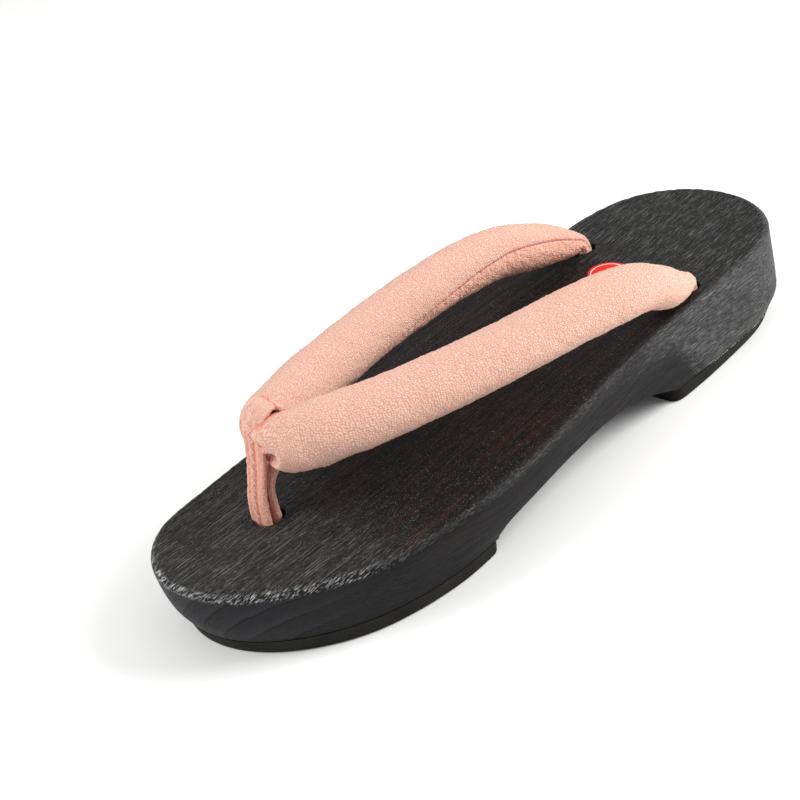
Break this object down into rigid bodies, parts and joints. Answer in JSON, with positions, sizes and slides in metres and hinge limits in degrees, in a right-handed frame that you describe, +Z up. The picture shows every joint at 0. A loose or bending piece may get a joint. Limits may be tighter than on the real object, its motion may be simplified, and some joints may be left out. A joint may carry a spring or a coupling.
{
  "type": "geta sandal",
  "caption": "Low wooden geta sandal for the left foot: foot-shaped block arched under the waist, rubber pads at toe and heel, padded V strap and a toe loop.",
  "frame": {"origin": "on the ground, under the middle of the wooden block", "axes": "+Y to the toe, +X to the inner side of the foot, +Z up"},
  "size_m": [0.0871, 0.25, 0.06],
  "materials": {
    "charred_wood": "charred and brushed, raised grain, satin",
    "sole_rubber": "matte",
    "strap_crepe": "crinkled crepe, padded",
    "loop_crepe": "crinkled crepe, folded"
  },
  "bodies": {
    "root": {"wood_base": "charred_wood", "toe_rubber_sole": "sole_rubber", "heel_rubber_sole": "sole_rubber", "strap": "strap_crepe", "toe_loop": "loop_crepe"}
  },
  "joints": []
}
